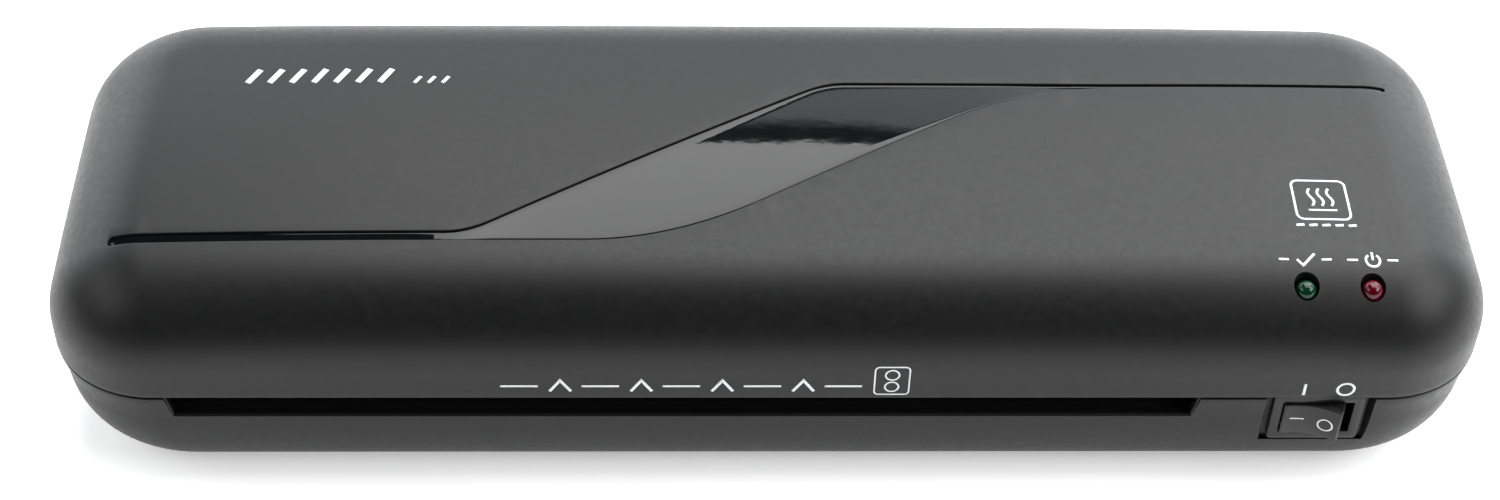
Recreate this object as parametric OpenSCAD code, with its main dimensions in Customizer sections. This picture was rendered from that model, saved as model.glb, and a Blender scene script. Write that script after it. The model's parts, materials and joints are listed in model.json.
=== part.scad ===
// Desktop pouch laminator: a black two-shell case around a heated roller frame.
// X runs along the machine (right positive), Y runs back, Z is up, units are millimetres.
// The origin is on the surface the machine stands on, under the centre of the case.

/* [Case] */
// Overall width of the case
body_w = 330; // [320:1:345]
// Depth of the case, front wall to back wall
body_d = 110; // [106:1:120]
// Height of the highest point of the cover above the table
body_h = 60.7; // [60:0.1:66]
// Height of the seam between cover and lower case
seam_z = 30; // [29.5:0.1:30.5]
// Width of the shadow gap at the seam
seam_gap = 0.5; // [0.3:0.1:0.8]
// Wall thickness of both shells
wall = 2.2; // [1.8:0.1:2.6]
// Plan corner radius at the front
corner_front = 25.4; // [22:0.2:30]
// Plan corner radius at the back
corner_back = 28.8; // [24:0.2:32]
// Fall of the cover from its middle to its front and back edges
crown_depthwise = 4; // [1:0.1:5]
// Fall of the cover from its middle to its ends
crown_endwise = 2.3; // [0:0.1:3]

/* [Openings] */
// Left end of the pouch slot
slot_left = -136.8; // [-138:0.1:-130]
// Right end of the pouch slot
slot_right = 96.4; // [90:0.1:98]
// Height of the lower edge of the pouch slot
slot_z = 23.9; // [23:0.1:25]
// Centre of the power switch along the machine
switch_x = 124.8; // [123:0.1:127]
// Centre of the cord gland along the machine
gland_x = 126; // [120:1:132]

/* [Rollers] */
// Radius of the silicone sleeves
sleeve_r = 9; // [8:0.1:9.2]
// Radius of the steel roller shafts
shaft_r = 3; // [2.5:0.1:3.2]
// Gap between the two sleeves when nothing is between them
nip_gap = 0.3; // [0.3:0.05:0.5]
// Distance of the roller shafts behind the middle of the case
roller_y = 8; // [7:0.5:9]
// Radial running clearance of shafts in their bushes
running_gap = 0.05; // [0.03:0.01:0.1]

/* [Drive] */
// Teeth of the two roller gears
roller_teeth = 18; // [18:18]
// Teeth of the motor pinion
pinion_teeth = 12; // [12:12]
// Face width of the gears
gear_w = 6; // [4:0.5:6]
// Backlash taken off each tooth
backlash = 0.12; // [0.08:0.02:0.2]
// Radius of the gear motor's can
motor_r = 24.5; // [20:0.5:24.5]
// Thickness of the gear motor
motor_len = 20; // [16:1:24]

/* [Lamps] */
// Centre of the green ready lamp
ready_x = 118.7; // [118:0.1:120]
// Centre of the red power lamp
power_x = 133.7; // [132:0.1:135]
// Distance of both lamps in front of the middle of the case
lamp_y = -44.1; // [-45:0.1:-43]
// Radius of a lamp's dome
lamp_r = 2.4; // [2:0.1:2.5]

/* [Hidden] */
$fn = 48;

half_w = body_w / 2;
half_d = body_d / 2;
foot_h = 2;
cover_z = seam_z + seam_gap / 2;
case_z = seam_z - seam_gap / 2;

// Edge roundings of the cover: how far in they start, and how far down
side_round = [23, 23.8];
front_round = [19, 21];
back_round = [21.6, 19.8];
// Edge rounding all round the lower case, and how far its walls lean in above it
base_round = [11, 21.5];
base_lean_side = 1.3;
base_lean_front = 0.5;

// Steps of the shell meshes: along the ends, round a corner, along the long walls, up an edge
end_steps = 2;
corner_steps = 6;
long_steps = 10;
edge_steps = 8;
cap_steps = 3;

// Tongue of the lower case that stands inside the cover
tongue_out = 2.5;
tongue_in = 3.5;
tongue_h = 1.3;

// Gloss inlay: back edge and front edge as low line, high line and slope between them
inlay_left = -149;
inlay_right = 148;
inlay_slope = 0.6;
inlay_back = [-30.8, 18.6, -17.8];
inlay_front = [-33.3, 17.4, 32.7];
inlay_rise = 0.018;
inlay_rise_from = 80;
inlay_back_blend = 3;
inlay_front_blend = 12;
inlay_steps = 44;
inlay_depth = 1.4;
inlay_sunk = 0.5;
inlay_fit = 0.12;

// Heights of the pouch path and of the two roller axes
path_z = 27;
lower_z = path_z - sleeve_r - nip_gap / 2;
upper_z = path_z + sleeve_r + nip_gap / 2;
sleeve_left = -133.5;
sleeve_right = 92.5;

// Pouch guides: outer edge, flat lip and inner edges; gaps above and below the path
guide_outer_y = 51;
guide_lip = 6;
guide_t = 1.6;
entry_inner_y = -33;
exit_inner_y = 20;
entry_gap = 0.75;
exit_gap = 1;

// Heater plates: front and back edge, height of their fins, and their thickness
heater_front = -30;
heater_back = -4;
heater_lead = 2;
heater_fin = 8;
heater_t = 3.5;
strip_t = 1.5;
strip_w = 18;
sensor_y = -17;

// Frame plates, and the compartment outside the right one
plate_t = 1.5;
plate_left = -138.5;
plate_right = 98;
plate_front = -36;
plate_back = 38;
plate_foot_z = foot_h + wall + 3;
plate_top = 54;
gear_x = plate_right + plate_t + 2.5;
bracket_x = gear_x + gear_w + 2.5;
bracket_t = 1.2;
motor_x = bracket_x + bracket_t;

// Upper bearings slide in windows of the frame plates under their springs
block_w = 10;
block_h = 10;
block_gap = 0.15;
window_top = 50;
spring_r = 2.5;
spring_wire = 0.5;
spring_turns = 5;

// Gear geometry: the module follows from the distance between the roller axes
gear_module = (upper_z - lower_z) / roller_teeth;
pressure_angle = 20;
pinion_dist = gear_module * (roller_teeth + pinion_teeth) / 2;
pinion_dir = 10;
pinion_y = roller_y + pinion_dist * cos(pinion_dir);
pinion_z = lower_z + pinion_dist * sin(pinion_dir);
motor_y = pinion_y;
motor_z = 30;
ear_dist = 27.5;

// How far each end of the pouch slot leans in over the height of the slot
slot_lean = 1.4;

// Screw posts that hold the two shells together
posts = [[-146, -26], [-146, 26], [146, -22], [146, 30]];
post_r = 3.6;
post_meet_z = 24;
screw_r = 1.4;
screw_head_r = 2.9;
screw_seat_z = 13;
feet = [[-126, -30], [-126, 30], [126, -30], [126, 30]];
foot_r = 6.5;
foot_sunk = 0.6;

// Rocker switch
bezel_w = 21;
bezel_bottom = 15.3;
bezel_top = 29.6;
bezel_t = 1.8;
pocket_y = -52.3;
pocket_w = 25;
pocket_z = 14.3;
rocker_gap_w = 16.3;
rocker_bottom = 17.9;
rocker_top = 27.3;
rocker_tilt = 12;
rocker_axis_y = pocket_y - bezel_t + 5;

lamp_hole_r = 2.9;
board_left = 110;
board_right = 142;
board_front = -48.5;
board_back = -34;
board_z = 46;
board_t = 1.6;
board_post_y = -38;
board_post_r = 2.4;
board_post_h = 9;
board_screw_r = 1;
board_screw_len = 6;

gland_z = 14;
cord_r = 3.2;
gland_r = 6;
gland_flange_r = 8;
gland_out = 2.61;

housing_w = 19;
housing_bottom = 16.2;
housing_top = 29;
housing_back = -36;
pivot_r = 1.2;
terminal_offsets = [-6.5, 0, 6.5];
board_screw_xs = [board_left + 2.6, board_right - 2.6];
lamp_dome_z = 6.4;
bush_r = 5;
heater_left = -120;
heater_right = 80;
sensor_z = path_z + entry_gap + heater_t + strip_t;
thermostat_x = -20;
thermostat_r = 7.5;
thermostat_h = 5;
fuse_x = 20;
fuse_len = 12;
fuse_r = 2;
tie_points = [[-20, 47], [30, 40], [30, 14]];
tab_w = 10;
frame_bolts = [for (x = [plate_left + plate_t + tab_w / 2, plate_right - tab_w / 2])
    for (y = [plate_front + tab_w / 2, plate_back - tab_w / 2]) [x, y]];
bracket_posts = [[-5, 11], [-5, 46], [34, 11]];
shaft_end = gear_x + gear_w + 1.6;

black = [0.09, 0.09, 0.1];
steel = [0.72, 0.73, 0.75];
plated = [0.62, 0.63, 0.6];

// ---------- shared shapes ----------

function mix(a, b, t) = a + (b - a) * t;

// How far an elliptical edge rounding has moved in at height z, under a top at top_z
function edge_inset(z, top_z, rounding) =
    z <= top_z - rounding[1] ? 0
    : rounding[0] * (1 - sqrt(max(0, 1 - pow((z - top_z + rounding[1]) / rounding[1], 2))));

function arc_points(cx, cy, r, from) =
    [for (i = [0:corner_steps - 1]) let (a = from + 90 * i / corner_steps)
        [cx + r * cos(a), cy + r * sin(a)]];

function line_points(p, q, steps) =
    [for (i = [0:steps - 1]) mix(p, q, i / steps)];

// Rounded rectangle, anticlockwise from the front of the right end
function plan(hx, yf, yb, rf, rb) = concat(
    line_points([hx, yf + rf], [hx, yb - rb], end_steps),
    arc_points(hx - rb, yb - rb, rb, 0),
    line_points([hx - rb, yb], [rb - hx, yb], long_steps),
    arc_points(rb - hx, yb - rb, rb, 90),
    line_points([-hx, yb - rb], [-hx, yf + rf], end_steps),
    arc_points(rf - hx, yf + rf, rf, 180),
    line_points([rf - hx, yf], [hx - rf, yf], long_steps),
    arc_points(hx - rf, yf + rf, rf, 270));

function ring_at(points, z) = [for (p = points) [p[0], p[1], z]];

function crown_fall(x, y) =
    crown_depthwise * pow(y / half_d, 2) + crown_endwise * pow(x / half_w, 4);

// The cover's fall grows from nothing at the seam to its full value at the top
function crowned(p) =
    [p[0], p[1], p[2] - crown_fall(p[0], p[1])
        * min(1, max(0, (p[2] - seam_z) / (body_h - seam_z)))];

function cover_top(x, y) = body_h - crown_fall(x, y);

// Plan of the cover at height z, on a surface that lies off inside the outer one
function cover_plan(z, off) =
    let (side = edge_inset(z, body_h - off, side_round - [off, off]),
        front = edge_inset(z, body_h - off, front_round - [off, off]),
        back = edge_inset(z, body_h - off, back_round - [off, off]))
    plan(half_w - off - side, front - half_d + off, half_d - off - back,
        max(corner_front - off - side, 1.5), max(corner_back - off - side, 1.5));

function cover_ring(z, off) = [for (p = ring_at(cover_plan(z, off), z)) crowned(p)];

// Rings that close the cover's top, shrinking towards its middle
function cap_ring(scale_by, off) =
    [for (p = cover_plan(body_h - off, off))
        crowned([p[0] * scale_by, p[1] * scale_by, body_h - off])];

function case_plan(z, off) =
    let (top_of_round = foot_h + base_round[1],
        lean = min(1, (seam_z - z) / (seam_z - top_of_round)),
        up = max(0, min(1, (top_of_round - z) / (base_round[1] - off))),
        turn = (base_round[0] - off) * (1 - sqrt(1 - up * up)))
    plan(half_w - off - lean * base_lean_side - turn,
        off + lean * base_lean_front + turn - half_d,
        half_d - off - lean * base_lean_front - turn,
        corner_front - off, corner_back - off);

function case_ring(z, off) = ring_at(case_plan(z, off), z);

// Closed skin through rings of equal count, with a single point at each end
module ring_skin(rings, first, last) {
    n = len(rings[0]);
    count = len(rings);
    points = concat([first], [for (ring = rings) each ring], [last]);
    end = len(points) - 1;
    faces = concat(
        [for (i = [0:n - 1]) [0, 1 + (i + 1) % n, 1 + i]],
        [for (k = [0:count - 2]) for (i = [0:n - 1])
            let (a = 1 + k * n, b = a + n, j = (i + 1) % n) each [
                [a + i, a + j, b + j],
                [a + i, b + j, b + i]]],
        [for (i = [0:n - 1]) let (a = end - n) [a + i, a + (i + 1) % n, end]]);
    polyhedron(points = points, faces = faces, convexity = 10);
}

// Prism along X from a profile drawn with its first axis along Y and its second along Z
module along_x(x, length) {
    translate([x, 0, 0]) rotate([90, 0, 90]) linear_extrude(height = length) children();
}

module rod_x(x, length, y, z, r) {
    translate([x, y, z]) rotate([0, 90, 0]) cylinder(h = length, r = r);
}

module tube_x(x, length, y, z, r, bore) {
    difference() {
        rod_x(x, length, y, z, r);
        rod_x(x - 1, length + 2, y, z, bore);
    }
}

module box(low, high) {
    translate(low) cube(high - low);
}

// Tapered notch in a wall for the pouch: the ends lean in towards the bottom
module slot_notch(y0, y1) {
    top = case_z + 4;
    lean = slot_lean * (top - slot_z) / (case_z - slot_z);
    translate([0, y1, 0]) rotate([90, 0, 0]) linear_extrude(height = y1 - y0)
        polygon([[slot_left + slot_lean, slot_z], [slot_right - slot_lean, slot_z],
            [slot_right - slot_lean + lean, top], [slot_left + slot_lean - lean, top]]);
}

// ---------- case ----------

module cover_post(x, y) {
    translate([x, y, post_meet_z]) cylinder(h = cover_top(x, y) - 1 - post_meet_z, r = post_r);
}

module board_post(x) {
    translate([x, board_post_y, board_z + board_t])
        cylinder(h = board_post_h, r = board_post_r);
}

module top_cover() {
    outer_h = side_round[1];
    inner_h = outer_h - wall;
    caps_out = [for (i = [1:cap_steps]) cap_ring(i / (cap_steps + 1), 0)];
    caps_in = [for (i = [cap_steps:-1:1]) cap_ring(i / (cap_steps + 1), wall)];
    outer = [for (i = [edge_steps:-1:0])
        cover_ring(body_h - outer_h * (1 - sin(90 * i / edge_steps)), 0)];
    inner = [for (i = [0:edge_steps])
        cover_ring(body_h - wall - inner_h * (1 - sin(90 * i / edge_steps)), wall)];
    rims = [cover_ring(cover_z, 0), cover_ring(cover_z, wall)];
    color(black) difference() {
        union() {
            ring_skin(concat(caps_out, outer, rims, inner, caps_in),
                [0, 0, body_h], [0, 0, body_h - wall]);
            for (p = posts) cover_post(p[0], p[1]);
            for (x = board_screw_xs) board_post(x);
        }
        for (p = posts) translate([p[0], p[1], post_meet_z - 1]) cylinder(h = 13, r = screw_r);
        for (x = [ready_x, power_x]) translate([x, lamp_y, 50]) cylinder(h = 10, r = lamp_hole_r);
        for (x = board_screw_xs) translate([x, board_post_y, board_z])
            cylinder(h = board_screw_len + 0.3, r = board_screw_r);
        inlay_body(0, -inlay_depth, 4);
    }
}

// Low line, slope and gently rising high line joined by parabolic blends
function blend_high(a, b, k) = max(a, b) + pow(max(k - abs(a - b), 0), 2) / (4 * k);
function blend_low(a, b, k) = -blend_high(-a, -b, k);
function edge_line(x, edge, blend) =
    blend_low(blend_high(edge[0], inlay_slope * (x - edge[2]), blend),
        edge[1] + inlay_rise * max(0, x - inlay_rise_from), blend);
function inlay_back_y(x) = edge_line(x, inlay_back, inlay_back_blend);
function inlay_front_y(x) = edge_line(x, inlay_front, inlay_front_blend);

// Strip between the inlay's two edges, drawn in by fit, from low to high above the cover
module inlay_body(fit, low, high) {
    xs = concat(line_points(inlay_left + fit, inlay_right - fit, inlay_steps), [inlay_right - fit]);
    corners = [for (x = xs) let (yf = inlay_front_y(x) + fit, yb = inlay_back_y(x) - fit) each [
        [x, yf, cover_top(x, yf) + low],
        [x, yb, cover_top(x, yb) + low],
        [x, yb, cover_top(x, yb) + high],
        [x, yf, cover_top(x, yf) + high]]];
    last = 4 * (len(xs) - 1);
    faces = concat([[0, 1, 2], [0, 2, 3]],
        [for (i = [0:len(xs) - 2]) for (side = [0:3])
            let (a = 4 * i + side, b = 4 * i + (side + 1) % 4) each [
                [a, a + 4, b + 4],
                [a, b + 4, b]]],
        [[last, last + 2, last + 1], [last, last + 3, last + 2]]);
    polyhedron(points = corners, faces = faces, convexity = 6);
}

module gloss_inlay() {
    color([0.03, 0.03, 0.035]) inlay_body(inlay_fit, -inlay_depth, -inlay_sunk);
}

module bottom_case() {
    inner_round = base_round[1] - wall;
    floor_z = foot_h + wall;
    floor_caps = [for (i = [1:cap_steps]) [for (p = case_plan(floor_z, wall))
        [p[0] * i / (cap_steps + 1), p[1] * i / (cap_steps + 1), floor_z]]];
    inner = [for (i = [0:edge_steps])
        case_ring(floor_z + inner_round * (1 - cos(90 * i / edge_steps)), wall)];
    tongue = [case_ring(case_z - 2, wall), case_ring(case_z - 1, tongue_in),
        case_ring(case_z + tongue_h, tongue_in), case_ring(case_z + tongue_h, tongue_out),
        case_ring(case_z, tongue_out)];
    outer = [for (i = [edge_steps:-1:0])
        case_ring(foot_h + base_round[1] * (1 - cos(90 * i / edge_steps)), 0)];
    base_caps = [for (i = [cap_steps:-1:1]) [for (p = case_plan(foot_h, 0))
        [p[0] * i / (cap_steps + 1), p[1] * i / (cap_steps + 1), foot_h]]];
    color(black) difference() {
        union() {
            ring_skin(concat(floor_caps, inner, tongue, [case_ring(case_z, 0)], outer, base_caps),
                [0, 0, floor_z], [0, 0, foot_h]);
            for (p = posts) case_post(p[0], p[1]);
            for (p = frame_bolts) frame_boss(p);
            switch_backing();
            gland_boss();
        }
        slot_notch(-half_d - 5, -half_d + 7);
        slot_notch(half_d - 7, half_d + 5);
        switch_pocket();
        for (p = posts) screw_bore(p[0], p[1]);
        for (p = frame_bolts) translate([p[0], p[1], foot_h + 1.2]) cylinder(h = 8, r = screw_r);
        for (p = feet) translate([p[0], p[1], foot_h - 1]) cylinder(h = 1 + foot_sunk, r = foot_r);
        for (x = [-84:12:84]) for (side = [-1, 1]) vent(x, side * 18);
        translate([gland_x, half_d + 5, gland_z]) rotate([90, 0, 0])
            cylinder(h = 20, r = gland_r + 0.05);
    }
}

module case_post(x, y) {
    translate([x, y, foot_h + 1]) cylinder(h = post_meet_z - foot_h - 1.2, r = post_r + 0.8);
}

module screw_bore(x, y) {
    translate([x, y, foot_h - 1]) cylinder(h = screw_seat_z - foot_h + 1, r = screw_head_r + 0.3);
    translate([x, y, screw_seat_z - 1]) cylinder(h = 20, r = screw_r + 0.3);
}

module frame_boss(p) {
    half = tab_w / 2;
    box([p[0] - half, p[1] - half, foot_h + 1], [p[0] + half, p[1] + half, plate_foot_z]);
}

// Thicker wall behind the switch, so that its pocket does not break through
module switch_backing() {
    box([switch_x - 14, pocket_y - 0.2, pocket_z - 2], [switch_x + 14, pocket_y + 2.2, case_z - 1]);
}

// Flat seat for the gland's flange on the rounded back wall
module gland_boss() {
    translate([gland_x, half_d - base_lean_front, gland_z]) rotate([90, 0, 0])
        cylinder(h = 6, r = gland_flange_r + 1);
}

module switch_pocket() {
    box([switch_x - pocket_w / 2, -half_d - 5, pocket_z],
        [switch_x + pocket_w / 2, pocket_y, case_z + 5]);
    box([switch_x - housing_w / 2, -half_d - 5, housing_bottom],
        [switch_x + housing_w / 2, pocket_y + 5, case_z + 5]);
}

module vent(x, y) {
    box([x - 1.5, y - 11, foot_h - 1], [x + 1.5, y + 11, foot_h + wall + 1]);
}

module rubber_feet() {
    color([0.13, 0.13, 0.13]) for (p = feet) translate([p[0], p[1], 0]) {
        cylinder(h = 0.8, r1 = foot_r - 0.8, r2 = foot_r);
        translate([0, 0, 0.8]) cylinder(h = foot_h + foot_sunk - 0.8, r = foot_r);
    }
}

module case_screws() {
    color(plated) for (p = posts) translate([p[0], p[1], 0]) {
        translate([0, 0, screw_seat_z - 2]) pan_head(screw_head_r, 2);
        translate([0, 0, screw_seat_z - 0.1]) cylinder(h = 20, r = screw_r);
    }
}

// Screw head facing down, with a cross recess in it
module pan_head(r, h) {
    difference() {
        cylinder(h = h, r = r);
        for (turn = [0, 90]) rotate([0, 0, turn])
            box([-r * 0.6, -r * 0.15, -1], [r * 0.6, r * 0.15, h * 0.5]);
    }
}

module cord_gland() {
    wall_y = half_d - base_lean_front;
    color([0.07, 0.07, 0.07]) translate([gland_x, 0, gland_z]) rotate([-90, 0, 0]) difference() {
        union() {
            translate([0, 0, wall_y]) cylinder(h = half_d - wall_y + gland_out, r = gland_flange_r);
            translate([0, 0, wall_y - 8]) cylinder(h = 8.1, r = gland_r);
        }
        cylinder(h = half_d + 10, r = cord_r);
    }
}

// ---------- switch and lamps ----------

module switch_housing() {
    color([0.07, 0.07, 0.075]) difference() {
        union() {
            box([switch_x - bezel_w / 2, pocket_y - bezel_t, bezel_bottom],
                [switch_x + bezel_w / 2, pocket_y, bezel_top]);
            box([switch_x - housing_w / 2, pocket_y - 0.1, housing_bottom],
                [switch_x + housing_w / 2, housing_back, housing_top]);
        }
        box([switch_x - rocker_gap_w / 2, -half_d - 5, rocker_bottom - 0.2],
            [switch_x + rocker_gap_w / 2, housing_back - 4, rocker_top + 0.2]);
        translate([switch_x, rocker_axis_y, housing_bottom + 0.6])
            cylinder(h = housing_top - housing_bottom - 1.2, r = pivot_r + running_gap);
        for (dx = terminal_offsets) translate([switch_x + dx, 0, 0])
            box([-0.4, housing_back - 5, 20.2], [0.4, housing_back + 1, 25]);
    }
}

// Rocker with its left half pressed in: the profile is drawn level, then tilted
module switch_rocker() {
    color([0.06, 0.06, 0.065]) translate([switch_x, rocker_axis_y, 0])
        rotate([0, 0, -rocker_tilt]) {
            translate([0, 0, rocker_bottom]) linear_extrude(height = rocker_top - rocker_bottom)
                polygon([[-6.6, -7.3], [0, -6], [6.6, -7.3], [7.5, -1.5], [3, 3.4], [-3, 3.4],
                    [-7.5, -1.5]]);
            translate([0, 0, housing_bottom + 0.7])
                cylinder(h = housing_top - housing_bottom - 1.4, r = pivot_r);
        }
}

module switch_terminals() {
    color([0.75, 0.62, 0.35]) for (dx = terminal_offsets) translate([switch_x + dx, 0, 0])
        difference() {
            box([-0.4, housing_back - 5, 20.2], [0.4, housing_back + 7, 25]);
            translate([-1, housing_back + 5, 22.6]) rotate([0, 90, 0]) cylinder(h = 2, r = 0.8);
        }
}

// Lamp with a round dome, a collar at its foot and two leads through the board
module lamp(x, tint) {
    color(tint) translate([x, lamp_y, board_z + board_t]) {
        cylinder(h = 1, r = lamp_r + 0.4);
        cylinder(h = lamp_dome_z, r = lamp_r);
        translate([0, 0, lamp_dome_z]) sphere(r = lamp_r);
        for (dx = [-1.27, 1.27]) translate([dx, 0, -board_t - 2]) cylinder(h = board_t + 2.1, r = 0.3);
    }
}

module ready_lamp() {
    lamp(ready_x, [0.05, 0.35, 0.15]);
}

module power_lamp() {
    lamp(power_x, [0.5, 0.05, 0.08]);
}

module lamp_board() {
    color([0.1, 0.35, 0.18]) difference() {
        box([board_left, board_front, board_z], [board_right, board_back, board_z + board_t]);
        for (x = [ready_x, power_x]) for (dx = [-1.27, 1.27])
            translate([x + dx, lamp_y, board_z - 1]) cylinder(h = board_t + 2, r = 0.3);
        for (x = board_screw_xs) translate([x, board_post_y, board_z - 1]) cylinder(h = 4, r = 1.3);
    }
}

module board_screws() {
    color(plated) for (x = board_screw_xs) translate([x, board_post_y, board_z - 1.4]) {
        pan_head(2.2, 1.4);
        translate([0, 0, 1.3]) cylinder(h = board_screw_len, r = board_screw_r);
    }
}

// ---------- pouch path ----------

// Sloped plastic guide from a flat lip at its outer edge to the path, seen along X
module guide(outer_y, inner_y, outer_z, inner_z) {
    lip_y = outer_y + guide_lip * sign(inner_y - outer_y);
    thick = guide_t * sign(outer_z - inner_z);
    along_x(plate_left + plate_t, plate_right - plate_left - plate_t)
        polygon([[outer_y, outer_z], [lip_y, outer_z], [inner_y, inner_z],
            [inner_y, inner_z + thick], [lip_y, outer_z + thick], [outer_y, outer_z + thick]]);
}

module entry_guide_lower() {
    color([0.12, 0.12, 0.13]) guide(-guide_outer_y, entry_inner_y, slot_z, path_z - entry_gap);
}

module entry_guide_upper() {
    color([0.12, 0.12, 0.13]) guide(-guide_outer_y, entry_inner_y, cover_z, path_z + entry_gap);
}

module exit_guide_lower() {
    color([0.12, 0.12, 0.13]) guide(guide_outer_y, exit_inner_y, slot_z, path_z - exit_gap);
}

module exit_guide_upper() {
    color([0.12, 0.12, 0.13]) guide(guide_outer_y, exit_inner_y, cover_z, path_z + exit_gap);
}

// Extruded heater plate with a chamfered lead-in and a fin along each edge; up is +1 or -1
module heater_plate(up) {
    face = path_z + up * entry_gap;
    fin_front = heater_front + heater_lead;
    fin_back = heater_back - heater_lead;
    color([0.78, 0.79, 0.8]) along_x(plate_left + plate_t, plate_right - plate_left - plate_t)
        polygon([[heater_front, face + up], [fin_front, face], [fin_back, face],
            [heater_back, face + up], [heater_back, face + up * heater_fin],
            [fin_back, face + up * heater_fin], [fin_back, face + up * heater_t],
            [fin_front, face + up * heater_t], [fin_front, face + up * heater_fin],
            [heater_front, face + up * heater_fin]]);
}

module heater_strip(up) {
    near = path_z + up * (entry_gap + heater_t);
    far = near + up * strip_t;
    color([0.75, 0.7, 0.55])
        box([heater_left, sensor_y - strip_w / 2, min(near, far)],
            [heater_right, sensor_y + strip_w / 2, max(near, far)]);
}

module lower_heater_plate() {
    heater_plate(-1);
}

module upper_heater_plate() {
    heater_plate(1);
}

module lower_heater_strip() {
    heater_strip(-1);
}

module upper_heater_strip() {
    heater_strip(1);
}

module thermostat() {
    color([0.9, 0.88, 0.82]) translate([thermostat_x, sensor_y, sensor_z]) {
        cylinder(h = thermostat_h, r = thermostat_r);
        translate([0, 0, thermostat_h]) cylinder(h = 2.5, r = thermostat_r - 1.5);
        for (dx = [-4, 4]) box([dx - 2, -0.4, thermostat_h + 2.4], [dx + 2, 0.4, 14]);
    }
}

module thermal_fuse() {
    color([0.8, 0.8, 0.78]) {
        rod_x(fuse_x, fuse_len, sensor_y, sensor_z + fuse_r, fuse_r);
        rod_x(fuse_x - 8, fuse_len + 16, sensor_y, sensor_z + fuse_r, 0.5);
    }
}

// ---------- frame ----------

// Steel side plate with a bush hole, a window for the sliding bearing and a spring seat
module frame_plate(x, outward) {
    outer_x = outward > 0 ? x + plate_t : x;
    color(steel) {
        difference() {
            along_x(x, plate_t) polygon([[plate_front, plate_foot_z], [plate_back, plate_foot_z],
                [plate_back, 38], [plate_back - 14, plate_top], [plate_front + 20, plate_top],
                [plate_front, 44]]);
            rod_x(x - 1, plate_t + 2, roller_y, lower_z, bush_r);
            box([x - 1, roller_y - block_w / 2, upper_z - block_h / 2],
                [x + plate_t + 1, roller_y + block_w / 2, window_top]);
            for (p = tie_points) rod_x(x - 1, plate_t + 2, p[0], p[1], 2);
        }
        for (end = [plate_front, plate_back - tab_w]) difference() {
            box([min(outer_x, outer_x + tab_w * outward), end, plate_foot_z],
                [max(outer_x, outer_x + tab_w * outward), end + tab_w, plate_foot_z + plate_t]);
            translate([outer_x + tab_w / 2 * outward, end + tab_w / 2, plate_foot_z - 1])
                cylinder(h = 4, r = screw_r + 0.3);
        }
        box([x - 2.5, roller_y - block_w / 2 - 0.5, window_top],
            [x + plate_t + 2.5, roller_y + block_w / 2 + 0.5, window_top + plate_t]);
    }
}

module frame_left() {
    frame_plate(plate_left, 1);
}

module frame_right() {
    frame_plate(plate_right, -1);
}

module frame_screws() {
    color(plated) for (p = frame_bolts) translate([p[0], p[1], foot_h + 1.5]) {
        cylinder(h = plate_foot_z + plate_t - foot_h - 1.4, r = screw_r);
        translate([0, 0, plate_foot_z + plate_t - foot_h + 0.1]) rotate([180, 0, 0])
            pan_head(screw_head_r, 1.6);
    }
}

module tie_rods() {
    color(steel) for (p = tie_points)
        rod_x(plate_left - 1.5, plate_right - plate_left + plate_t + 3, p[0], p[1], 2);
}

// Flanged bush; the flange lies outside its plate
module lower_bushes() {
    color([0.9, 0.89, 0.84]) for (x = [plate_left, plate_right]) difference() {
        flange_x = x < 0 ? x - 1.2 : x + plate_t;
        union() {
            rod_x(x - 1, plate_t + 2, roller_y, lower_z, bush_r);
            rod_x(flange_x, 1.2, roller_y, lower_z, bush_r + 1.5);
        }
        rod_x(x - 5, 12, roller_y, lower_z, shaft_r + running_gap);
    }
}

// Square bearing blocks that rise in the frame windows when a pouch passes
module upper_bearings() {
    half = block_w / 2 - block_gap;
    color([0.9, 0.89, 0.84]) for (x = [plate_left, plate_right]) difference() {
        flange_x = x < 0 ? x - 1.7 : x + plate_t + 0.2;
        union() {
            box([x - 1.8, roller_y - half, upper_z - half], [x + plate_t + 1.8, roller_y + half,
                upper_z + half]);
            box([flange_x, roller_y - 6.5, upper_z - half], [flange_x + 1.5, roller_y + 6.5,
                upper_z + half]);
        }
        rod_x(x - 5, 12, roller_y, upper_z, shaft_r + running_gap);
    }
}

// Coil swept along a helix, with flat-cut ends
module coil(r, wire, turns, height) {
    around = 6;
    count = turns * 14;
    pitch = (height - 2 * wire) / turns;
    rings = [for (i = [0:count]) let (a = 360 * turns * i / count, z = wire + pitch * turns * i / count)
        [for (k = [0:around - 1]) let (b = 360 * k / around, d = r + wire * cos(b))
            [d * cos(a), d * sin(a), z + wire * sin(b)]]];
    ends = [[r, 0, wire], [r, 0, height - wire]];
    ring_skin([for (i = [count:-1:0]) rings[i]], ends[1], ends[0]);
}

module bearing_springs() {
    bottom = upper_z + block_h / 2;
    color(steel) for (x = [plate_left, plate_right])
        translate([x + plate_t / 2, roller_y, bottom + 0.05])
            coil(spring_r, spring_wire, spring_turns, window_top - bottom - 0.1);
}

// ---------- rollers ----------

module roller_shaft(z, right) {
    color(steel) rod_x(plate_left - 6, right - plate_left + 6, roller_y, z, shaft_r);
}

module roller_sleeve(z) {
    color([0.55, 0.2, 0.16]) tube_x(sleeve_left, sleeve_right - sleeve_left, roller_y, z, sleeve_r,
        shaft_r);
}

module shaft_clips(z) {
    color(steel) for (x = [plate_left - 4.2, gear_x + gear_w + 0.4])
        tube_x(x, 0.8, roller_y, z, shaft_r + 1.6, shaft_r);
}

module lower_roller_shaft() {
    roller_shaft(lower_z, shaft_end);
}

module upper_roller_shaft() {
    roller_shaft(upper_z, shaft_end);
}

module lower_roller_sleeve() {
    roller_sleeve(lower_z);
}

module upper_roller_sleeve() {
    roller_sleeve(upper_z);
}

module lower_shaft_clips() {
    shaft_clips(lower_z);
}

module upper_shaft_clips() {
    shaft_clips(upper_z);
}

// ---------- drive ----------

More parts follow.
